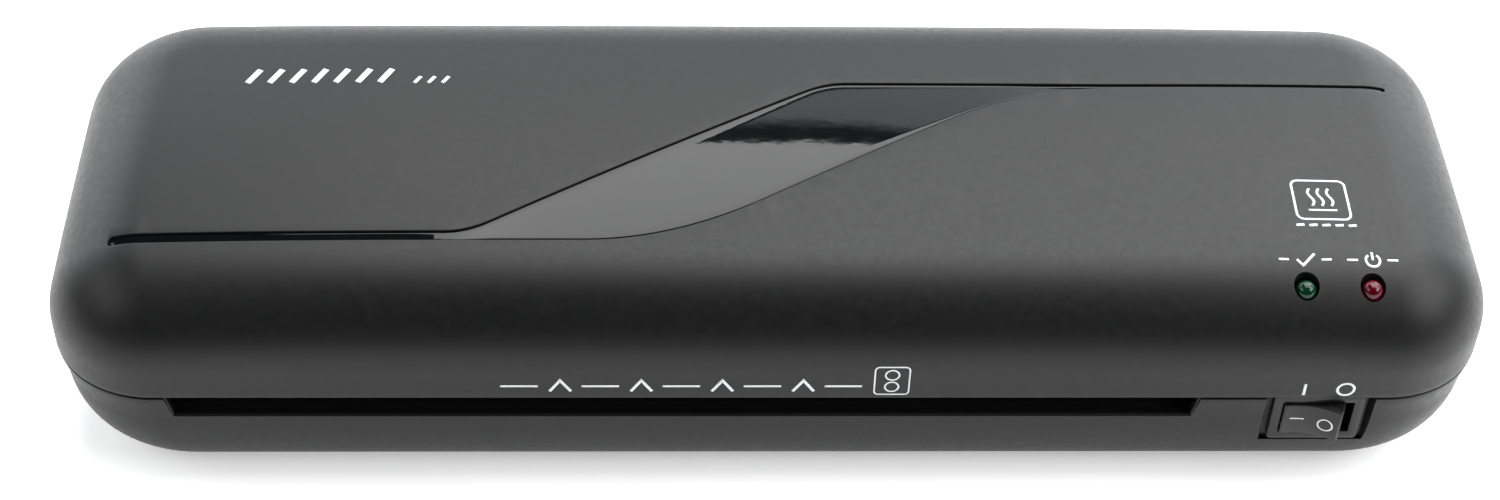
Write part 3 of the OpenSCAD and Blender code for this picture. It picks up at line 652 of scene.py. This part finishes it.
def build_inlay():
    verts, faces = strip_skin(inlay_rows)
    return piece("gloss_panel", verts, faces, "chassis", GLOSS,
                 ("gloss_inlay",), sharp=50)


# ---------- lower case ----------

def slot_cutter(y_wall, y_out, y_in):
    """Notch for the pouch: its lower lip is broken where it meets the wall's outside."""
    top = 36.0
    def section(y, grow):
        low = SLOT_Z - grow
        lean = SLOT_LEAN * (top - SLOT_Z) / 6
        return [(SLOT_LEFT + SLOT_LEAN - grow, y, low), (SLOT_RIGHT - 1 + grow, y, low),
                (SLOT_RIGHT - 1 + lean + grow, y, top), (SLOT_LEFT + SLOT_LEAN - lean - grow, y, top)]
    inward = 1 if y_in > y_wall else -1
    return skin([section(y_out, 0.5), section(y_wall + 0.1 * inward, 0.35),
                 section(y_wall + 0.3 * inward, 0.12), section(y_wall + 0.7 * inward, 0.0),
                 section(y_in, 0.0)])


def build_case():
    """Lower case: rounded tray with a tongue round its top, the two slots and all its holes."""
    top_z = SEAM_Z - SEAM_GAP / 2
    outer_h = BASE_ROUND[1]
    floor_z = BASE_Z + WALL
    turns = [math.radians(90 * i / EDGE_STEPS) for i in range(EDGE_STEPS + 1)]
    rings = [case_ring(BASE_Z + outer_h * (1 - math.cos(a)), 0) for a in turns]
    rings.append(case_ring(top_z - 2.0, 0))
    for share in (0, 30, 60, 90):
        a = math.radians(share)
        rings.append(case_ring(top_z - RIM * (1 - math.sin(a)), RIM * (1 - math.cos(a))))
    tongue_top = case_high.z
    rings += [case_ring(top_z, 2.5), case_ring(tongue_top, 2.5), case_ring(tongue_top, 3.5),
              case_ring(top_z - 1, 3.5), case_ring(top_z - 2, WALL)]
    rings += [case_ring(floor_z + (outer_h - WALL) * (1 - math.cos(a)), WALL)
              for a in turns[::-3]]
    verts, faces = skin(rings, False, False)
    count = len(rings[0])
    cap_grid(verts, faces, 0, lambda x, y: BASE_Z)
    cap_grid(verts, faces, len(rings) * count - count, lambda x, y: floor_z)
    case = piece("lower_shell", verts, faces, "chassis", CASE_BLACK,
                 ("bottom_case",))
    wall_y = HALF_D - BASE_LEAN_FRONT
    cutters = [slot_cutter(-wall_y, -HALF_D - CUT_OUT, -HALF_D + CUT_IN),
               slot_cutter(wall_y, HALF_D + CUT_OUT, HALF_D - CUT_IN)]
    middle = middle_of(*node_box("switch_housing"))[0]
    pocket = skin([pocket_section(middle, y, half_w) for y, half_w in (
        (-HALF_D - CUT_OUT, POCKET_W / 2), (-HALF_D + 0.5, POCKET_W / 2),
        (-HALF_D + POCKET_DEPTH, POCKET_W / 2 - POCKET_TAPER),
        (-HALF_D + CUT_IN, POCKET_W / 2 - POCKET_TAPER))])
    cutters.append(pocket)
    low, high = node_box("cord_gland")
    hole = ring_gland([(GLAND_R, HALF_D + 4), (GLAND_R, HALF_D - 14)], low, high)
    cutters.append(hole)
    for fx, fy in foot_places():
        cutters.append(lathe(fx, fy, [(FOOT_HOLE_R, BASE_Z - 1), (FOOT_HOLE_R, BASE_Z + 0.6)], 40))
    for sx, sy in screw_places():
        cutters.append(lathe(sx, sy, [(SCREW_HOLE_R, BASE_Z - 1),
                                      (SCREW_HOLE_R, BASE_Z + WALL + 1)], 32))
    for x in range(-VENT_REACH, VENT_REACH + 1, VENT_PITCH):
        for side in (-1, 1):
            cutters.append(vent(x, side * VENT_Y))
    cut(case, cutters)
    build_pocket_wall(middle, top_z)
    return case


def pocket_section(middle, y, half_w):
    top = SEAM_Z + 6
    return [(middle - half_w, y, POCKET_Z), (middle + half_w, y, POCKET_Z),
            (middle + half_w, y, top), (middle - half_w, y, top)]


def build_pocket_wall(middle, top_z):
    """The wall behind the switch, which the pocket would otherwise leave open."""
    def rectangle(y, half_w, low_z, high_z):
        return [(middle - half_w, y, low_z), (middle + half_w, y, low_z),
                (middle + half_w, y, high_z), (middle - half_w, y, high_z)]
    hole = (9.6, 15.8, 29.4)
    outline = (POCKET_W / 2 + 1.2, POCKET_Z - 1.5, top_z)
    face_y = -HALF_D + POCKET_DEPTH
    back_y = face_y + 2
    loops = [rectangle(face_y, *hole), rectangle(face_y, *outline),
             rectangle(back_y, *outline), rectangle(back_y, *hole)]
    verts, faces = skin(loops + [loops[0]], False, False)
    return piece("switch_wall", verts, faces, "chassis", CASE_BLACK)


def vent(x, y, half_w=1.5, half_l=11.0, steps=8):
    """Round-ended slot through the base."""
    outline = []
    for end in (1, -1):
        for i in range(steps + 1):
            a = math.radians(180 * i / steps) + (0 if end == 1 else math.pi)
            outline.append((x + half_w * math.cos(a),
                            y + end * (half_l - half_w) + half_w * math.sin(a)))
    return skin([[(px, py, z) for px, py in outline] for z in (BASE_Z - 1, BASE_Z + WALL + 1)])


def node_centres(node):
    """Centres of a node's separate solids, from their loose parts."""
    mesh = frame["nodes"][node].data
    bm = bmesh.new()
    bm.from_mesh(mesh)
    bmesh.ops.remove_doubles(bm, verts=bm.verts, dist=1e-6)
    seen, centres = set(), []
    for start in bm.verts:
        if start.index in seen:
            continue
        stack, group = [start], []
        seen.add(start.index)
        while stack:
            v = stack.pop()
            group.append(v.co.copy())
            for e in v.link_edges:
                other = e.other_vert(v)
                if other.index not in seen:
                    seen.add(other.index)
                    stack.append(other)
        low = [min(p[k] for p in group) for k in range(3)]
        high = [max(p[k] for p in group) for k in range(3)]
        centres.append([(a + b) / 2 / MM for a, b in zip(low, high)])
    bm.free()
    return centres


def foot_places():
    return [(c[0], c[1]) for c in node_centres("rubber_feet")]


def screw_places():
    return [(c[0], c[1]) for c in node_centres("case_screws")]


def build_feet():
    """Four moulded feet with a soft lower edge and a shallow dished face."""
    profile = [(1.2, 0.35), (4.2, 0.3), (4.7, 0.08), (5.1, 0.0), (5.6, 0.05), (6.1, 0.3),
               (6.4, 0.8), (6.5, 1.4), (6.5, 2.55), (6.0, 2.58)]
    verts, faces = [], []
    for x, y in foot_places():
        v, f = lathe(x, y, profile, 48)
        faces += [tuple(i + len(verts) for i in face) for face in f]
        verts += v
    return piece("soft_feet", verts, faces, "chassis", RUBBER, ("rubber_feet",))


# ---------- gland ----------

def ring_gland(profile, low, high, steps=56):
    """Skin turned about the cord's axis, which runs along Y, from (radius, y) pairs."""
    cx, _, cz = middle_of(low, high)
    turns = [2 * math.pi * i / steps for i in range(steps)]
    return skin([[(cx + r * math.cos(a), y, cz + r * math.sin(a)) for a in turns]
                 for r, y in profile])


def build_gland():
    """Flanged bush with a rounded rim and a deep bore for the cord."""
    low, high = node_box("cord_gland")
    wall_y, out_y = HALF_D - BASE_LEAN_FRONT, high.y
    profile = [(3.2, low.y + 0.6), (GLAND_R, low.y + 0.1), (5.95, wall_y - 0.3), (GLAND_R, wall_y + 0.35),
               (7.8, wall_y + 0.35), (7.98, wall_y + 0.7), (7.95, wall_y + 1.4),
               (7.5, wall_y + 1.9), (6.4, wall_y + 2.05), (5.6, wall_y + 2.2),
               (5.2, out_y - 0.5), (4.8, out_y - 0.1), (4.3, out_y - 0.02), (3.6, out_y - 0.12),
               (3.25, out_y - 0.5), (3.2, low.y + 3), (3.2, low.y + 0.61)]
    verts, faces = ring_gland(profile, low, high)
    return piece("gland_bush", verts, faces, "chassis", RUBBER, ("cord_gland",))


# ---------- lamps ----------

def build_lamp(node, material):
    """Lamp: tinted body with a round dome and a collar at its foot."""
    low, high = node_box(node)
    x, y, _ = middle_of(low, high)
    r, foot = LAMP_R, LAMP_FOOT_Z
    centre = high.z - r
    profile = [(0.3, foot), (2.75, foot), (2.8, foot + 0.15), (2.8, foot + 0.9), (2.7, foot + 1.0),
               (r, foot + 1.05)]
    for i in range(0, 15):
        a = math.radians(90 * i / 15)
        profile.append((r * math.cos(a), centre + r * math.sin(a)))
    profile.append((0.05, high.z))
    verts, faces = lathe(x, y, profile, 56)
    piece(node + "_lens", verts, faces, "chassis", material, (node,))


# ---------- switch ----------

def rounded_rect(cx, cz, hx, hz, r, steps=6):
    points = []
    for sx, sz, start in CORNERS:
        for i in range(steps + 1):
            a = math.radians(start + 90 * i / steps)
            points.append((cx + sx * (hx - r) + r * math.cos(a),
                           cz + sz * (hz - r) + r * math.sin(a)))
    return points


def build_switch():
    """Switch housing: bezel with a rounded edge round a deep rectangular opening."""
    low, high = node_box("switch_housing")
    cx, _, cz = middle_of(low, high)
    hx, hz = (high.x - low.x) / 2, (high.z - low.z) / 2
    front, back = low.y, high.y
    face = front + 1.8
    open_x, open_z, open_c = 8.15, 4.9, 22.6
    sections = [(back, 9.4, 6.3, 0.4, cz), (face + 0.02, 9.4, 6.3, 0.4, cz),
                (face, hx - 0.05, hz - 0.05, 0.9, cz), (front + 0.45, hx, hz, 1.0, cz),
                (front + 0.14, hx - 0.12, hz - 0.12, 0.9, cz), (front, hx - 0.45, hz - 0.45, 0.8, cz),
                (front, open_x + 0.25, open_z + 0.25, 0.5, open_c),
                (front + 0.08, open_x + 0.07, open_z + 0.07, 0.4, open_c),
                (front + 0.3, open_x, open_z, 0.35, open_c), (back - 4.2, open_x, open_z, 0.35, open_c)]
    rings = [[(x, y, z) for x, z in rounded_rect(cx, c, a, b, r)] for y, a, b, r, c in sections]
    verts, faces = skin(rings)
    return piece("switch_bezel", verts, faces, "chassis", SWITCH_BLACK,
                 ("switch_housing",))


def rocker_outline(inset):
    """Level profile of the rocker about its pivot: a dished face between two tips."""
    tip, dish, rim, round_r = 6.6, 6.0, 1.3, 0.45
    points = []
    for i in range(-14, 15):
        u = tip * i / 14
        v = dish + rim * (u / tip) ** 2
        near = abs(u) - (tip - round_r)
        if near > 0:
            v -= round_r * (1 - math.sqrt(max(0.0, 1 - (near / round_r) ** 2)))
        points.append((u * (1 - inset / tip), -(v - inset)))
    points += [(7.45 - inset, -1.5), (3.0, 3.3), (-3.0, 3.3), (inset - 7.45, -1.5)]
    return points


def build_rocker():
    """Rocker with its left half pressed, turned about the pivot of the power_rocker joint."""
    joint = [j for j in frame["joints"] if j["name"] == "power_rocker"][0]
    px, py, _ = (c / MM for c in joint["pos_m"])
    tilt = math.radians(ROCKER_TILT)
    bottom, top = ROCKER_LOW, ROCKER_HIGH
    rings = []
    for z, inset in ((bottom, 0.3), (bottom + 0.1, 0.1), (bottom + 0.3, 0), (top - 0.3, 0),
                     (top - 0.1, 0.1), (top, 0.3)):
        rings.append([(px + u * math.cos(tilt) - v * math.sin(tilt),
                       py + u * math.sin(tilt) + v * math.cos(tilt), z)
                      for u, v in rocker_outline(inset)])
    verts, faces = skin(rings)
    return piece("rocker_cap", verts, faces, "rocker", SWITCH_BLACK,
                 ("switch_rocker",), sharp=40)


# ---------- printing ----------

# Widths of the finer strokes, and how the ink lies on a surface
FINE_STROKE = 0.55
THIN_STROKE = 0.35
INK_LIFT = 0.03
INK_THICKNESS = 0.02

def resample(points, closed, step):
    """Points at most a step apart along a path."""
    path = points + [points[0]] if closed else points
    out = []
    for p, q in zip(path, path[1:]):
        pieces = max(1, math.ceil(math.dist(p, q) / step))
        out += [(mix(p[0], q[0], i / pieces), mix(p[1], q[1], i / pieces)) for i in range(pieces)]
    if not closed:
        out.append(path[-1])
    return out


def ribbon(points, width, closed=False, step=0.6):
    """Flat stroke along a path, mitred at its corners, as (points, faces)."""
    path = resample(points, closed, step)
    n = len(path)
    left, right = [], []
    for i, p in enumerate(path):
        before = path[i - 1] if closed or i else path[0]
        after = path[(i + 1) % n] if closed or i < n - 1 else path[-1]
        d1 = Vector((p[0] - before[0], p[1] - before[1]))
        d2 = Vector((after[0] - p[0], after[1] - p[1]))
        d1 = d1.normalized() if d1.length > 1e-9 else d2.normalized()
        d2 = d2.normalized() if d2.length > 1e-9 else d1
        normal = Vector((-(d1.y + d2.y), d1.x + d2.x)).normalized()
        reach = width / 2 / max(0.4, normal.dot(Vector((-d1.y, d1.x))))
        left.append((p[0] + normal.x * reach, p[1] + normal.y * reach))
        right.append((p[0] - normal.x * reach, p[1] - normal.y * reach))
    verts = left + right
    last = n if closed else n - 1
    faces = [(i, (i + 1) % n, n + (i + 1) % n, n + i) for i in range(last)]
    return verts, faces


def circle(cx, cy, r, start=0.0, sweep=360.0, steps=40, rz=None):
    turns = [math.radians(start + sweep * i / steps) for i in range(steps + (sweep < 360))]
    return [(cx + r * math.cos(a), cy + (rz or r) * math.sin(a)) for a in turns]


def print_on(name, strokes, target, direction, body, start):
    """Strokes laid on a surface: each point is cast along direction onto the target piece."""
    tree = BVHTree.FromObject(target, bpy.context.evaluated_depsgraph_get())
    aim = Vector(direction)
    verts, faces = [], []
    for points, faces_2d in strokes:
        base = len(verts)
        for p in points:
            origin = Vector((p[0], start, p[1])) if aim.y else Vector((p[0], p[1], start))
            hit, normal, _, _ = tree.ray_cast(origin * MM, aim)
            if normal.dot(aim) > 0:
                normal = -normal
            verts.append(hit / MM + normal * INK_LIFT)
        faces += [tuple(base + i for i in face) for face in faces_2d]
    obj = piece(name, verts, faces, body, INK)
    thicken = obj.modifiers.new("ink", "SOLIDIFY")
    thicken.thickness = INK_THICKNESS * MM
    apply_modifiers(obj)
    return obj


def rounded_square(cx, cy, reach_x, reach_y, r):
    """Outline made of four quarter circles, whose centres lie at the two reaches."""
    outline = []
    for sx, sy, start in CORNERS:
        outline += circle(cx + sx * reach_x, cy + sy * reach_y, r, start, 90, 6)
    return outline


def top_marks():
    """Generic white marks on the cover's top."""
    strokes = []
    # seven slanted bars, and a small group of three beside them
    for i in range(7):
        x = -123.4 + 5.2 * i
        strokes.append(ribbon([(x, 18.6), (x + 2.6, 23.6)], 1.5))
    for i in range(3):
        x = -84.0 + 3.3 * i
        strokes.append(ribbon([(x, 18.3), (x + 1.4, 20.7)], 0.9))
    # heat: three waves over a bar in a rounded square
    cx, cy = 125.3, -20.3
    strokes.append(ribbon(rounded_square(cx, cy, 4.6, 4.4, 1.6), FINE_STROKE, closed=True))
    for k in (-2.2, 0, 2.2):
        wave = [(cx + k + 0.55 * math.sin(t / 12 * 2 * math.pi), cy - 1.9 + 5.4 * t / 12)
                for t in range(13)]
        strokes.append(ribbon(wave, 0.6))
    strokes.append(ribbon([(cx - 3.3, cy - 3.2), (cx + 3.3, cy - 3.2)], FINE_STROKE))
    # a row of short dashes under it
    for i in range(5):
        x = 118.4 + 3.0 * i
        strokes.append(ribbon([(x, -28.2), (x + 1.9, -28.0)], 0.7))
    # lamp marks: a tick for ready, a broken ring with a bar for power
    strokes.append(ribbon([(117.0, -38.2), (118.3, -39.7), (121.2, -36.6)], 0.6))
    strokes.append(ribbon([(112.9, -38.2), (115.2, -38.2)], FINE_STROKE))
    strokes.append(ribbon([(122.6, -38.2), (124.9, -38.1)], FINE_STROKE))
    strokes.append(ribbon(circle(134.3, -38.1, 1.6, 125, 290, 28), FINE_STROKE))
    strokes.append(ribbon([(134.3, -38.1), (134.3, -35.9)], FINE_STROKE))
    strokes.append(ribbon([(128.4, -38.1), (130.9, -38.1)], FINE_STROKE))
    strokes.append(ribbon([(137.6, -38.0), (140.1, -38.0)], FINE_STROKE))
    return strokes


def front_marks():
    """Generic white marks on the cover's front, above the slot and the switch."""
    strokes = []
    # feed direction: chevrons between long dashes
    x = -61.5
    for i in range(5):
        strokes.append(ribbon([(x, 34.3), (x + 8.4, 34.3)], 0.6))
        if i < 4:
            strokes.append(ribbon([(x + 11.0, 32.6), (x + 13.4, 36.2), (x + 15.8, 32.6)], 0.7))
        x += 18.2
    # two rollers in a rounded square
    cx, cz = 26.4, 36.0
    strokes.append(ribbon(rounded_square(cx, cz, 2.9, 3.4, 1.0), THIN_STROKE, closed=True))
    strokes.append(ribbon(circle(cx, cz + 1.9, 1.55, steps=24), 0.4, closed=True))
    strokes.append(ribbon(circle(cx, cz - 1.9, 1.55, steps=24), 0.4, closed=True))
    # on and off
    strokes.append(ribbon([(120.2, 31.3), (120.2, 35.0)], 0.65))
    strokes.append(ribbon(circle(129.6, 33.2, 1.9, steps=32), 0.6, closed=True))
    return strokes


def rocker_marks():
    """The rocker's own on and off marks."""
    dash = ribbon([(118.6, 22.9), (121.8, 22.8)], THIN_STROKE)
    ring = ribbon(circle(126.6, 22.0, 1.55, steps=32, rz=1.7), THIN_STROKE, closed=True)
    return [dash, ring]


# ---------- camera, floor and light ----------

CAMERA_PLACE = (-23.876, -451.65, 473.149)
CAMERA_LENS = 63.13


def build_camera():
    """Camera in front of and above the machine, turned and rolled by small angles."""
    down, turn, roll = math.radians(44.9), 0.0438, 0.0325
    ahead = Vector((math.sin(turn) * math.cos(down), math.cos(turn) * math.cos(down),
                    -math.sin(down)))
    right = Vector((math.cos(turn), -math.sin(turn), 0))
    up = right.cross(ahead)
    right_r = right * math.cos(roll) + up * math.sin(roll)
    up_r = up * math.cos(roll) - right * math.sin(roll)
    data = bpy.data.cameras.new("camera")
    data.sensor_width = 36.0
    data.lens = CAMERA_LENS
    data.clip_start = 0.01
    camera = bpy.data.objects.new("camera", data)
    scene.collection.objects.link(camera)
    axes = Matrix((right_r, up_r, -ahead)).transposed().to_4x4()
    camera.matrix_world = Matrix.Translation(Vector(CAMERA_PLACE) * MM) @ axes
    scene.camera = camera


def build_floor():
    """Wide pale floor with painted light: it glows a little around the machine, which lightens the machine's
    shadow on it.
    """
    half = 4.0
    mesh = bpy.data.meshes.new("floor")
    mesh.from_pydata([(-half, -half, 0), (half, -half, 0), (half, half, 0), (-half, half, 0)], [],
                     [(0, 1, 2, 3)])
    floor = bpy.data.objects.new("floor", mesh)
    scene.collection.objects.link(floor)
    n = Nodes("floor_white")
    n.set(Base_Color=(0.92, 0.92, 0.92, 1), Roughness=0.9, Specular_IOR_Level=0.1,
          Emission_Color=(1, 1, 1, 1))
    distance = n.add("ShaderNodeVectorMath", operation="LENGTH")
    n.link(n.place, distance.inputs[0])
    # painted light: emission strongest under the machine and gone 0.6 m away, lifting the machine's shadow on the
    # floor
    n.use("Emission Strength", n.span(distance.outputs["Value"], 0.42, 0.0, 0.22, 0.6))
    mesh.materials.append(n.material)


def softbox(name, place, aim, size, radiance):
    """Rectangular light in metres whose face has the given radiance."""
    data = bpy.data.lights.new(name, "AREA")
    data.shape = "RECTANGLE"
    data.size, data.size_y = size
    data.energy = radiance * math.pi * size[0] * size[1]
    light = bpy.data.objects.new(name, data)
    light.location = place
    light.rotation_euler = (Vector(aim) - Vector(place)).to_track_quat("-Z", "Y").to_euler()
    scene.collection.objects.link(light)


def build_world():
    """Pale surroundings behind and beside the machine, dark towards the front."""
    world = bpy.data.worlds.new("studio")
    world.use_nodes = True
    tree = world.node_tree
    background = tree.nodes["Background"]
    coordinates = tree.nodes.new("ShaderNodeTexCoord")
    split = tree.nodes.new("ShaderNodeSeparateXYZ")
    tree.links.new(coordinates.outputs["Generated"], split.inputs["Vector"])

    def ramp(source, low, high, to_low, to_high):
        node = tree.nodes.new("ShaderNodeMapRange")
        node.interpolation_type = "SMOOTHSTEP"
        for key, value in (("From Min", low), ("From Max", high), ("To Min", to_low),
                           ("To Max", to_high)):
            node.inputs[key].default_value = value
        tree.links.new(source, node.inputs["Value"])
        return node.outputs["Result"]

    def combine(operation, a, b):
        node = tree.nodes.new("ShaderNodeMath")
        node.operation = operation
        for socket, value in zip(node.inputs, (a, b)):
            if isinstance(value, float):
                socket.default_value = value
            else:
                tree.links.new(value, socket)
        return node.outputs["Value"]

    behind = ramp(split.outputs["Y"], 0.15, 0.65, 0.0, 2.0)
    sideways = ramp(combine("ABSOLUTE", split.outputs["X"], 0.0), 0.2, 0.42, 1.0, 2.0)
    low_down = ramp(split.outputs["Z"], 0.618, 0.644, 1.0, 0.0)
    glow = combine("MULTIPLY", combine("MULTIPLY", behind, sideways), low_down)
    tree.links.new(combine("ADD", glow, 0.03), background.inputs["Strength"])
    background.inputs["Color"].default_value = (0.96, 0.98, 1.0, 1)
    scene.world = world


# ---------- everything together ----------

build_camera()
build_floor()
build_world()
softbox("softbox_back", (0.68, 0.945, 1.812), (0.68, 0, 0.05), (2.3, 1.44), 6.6)
softbox("softbox_top", (0.75, -0.02, 2.1), (0.75, 0, 0), (2.1, 0.75), 4.5)
softbox("softbox_left", (-1.05, -0.3, 0.85), (0, 0, 0.05), (1.0, 0.6), 3.0)
softbox("softbox_right", (1.05, -0.3, 0.85), (0, 0, 0.05), (1.0, 0.7), 6.4)
scene.view_settings.view_transform = "Standard"

for part in frame["record"]["subparts"]:
    obj = frame["nodes"][part["node"]]
    obj.data.materials.clear()
    obj.data.materials.append(SLOT_MATERIALS[part["material_slot"]])

cover = build_cover()
build_inlay()
build_case()
build_feet()
build_gland()
build_lamp("ready_lamp", LENS_GREEN)
build_lamp("power_lamp", LENS_RED)
build_switch()
rocker = build_rocker()

print_on("cover_marks", top_marks(), cover, (0, 0, -1), "chassis", 80)
print_on("front_marks", front_marks(), cover, (0, 1, 0), "chassis", -80)
print_on("rocker_marks", rocker_marks(), rocker, (0, 1, 0), "rocker", -80)
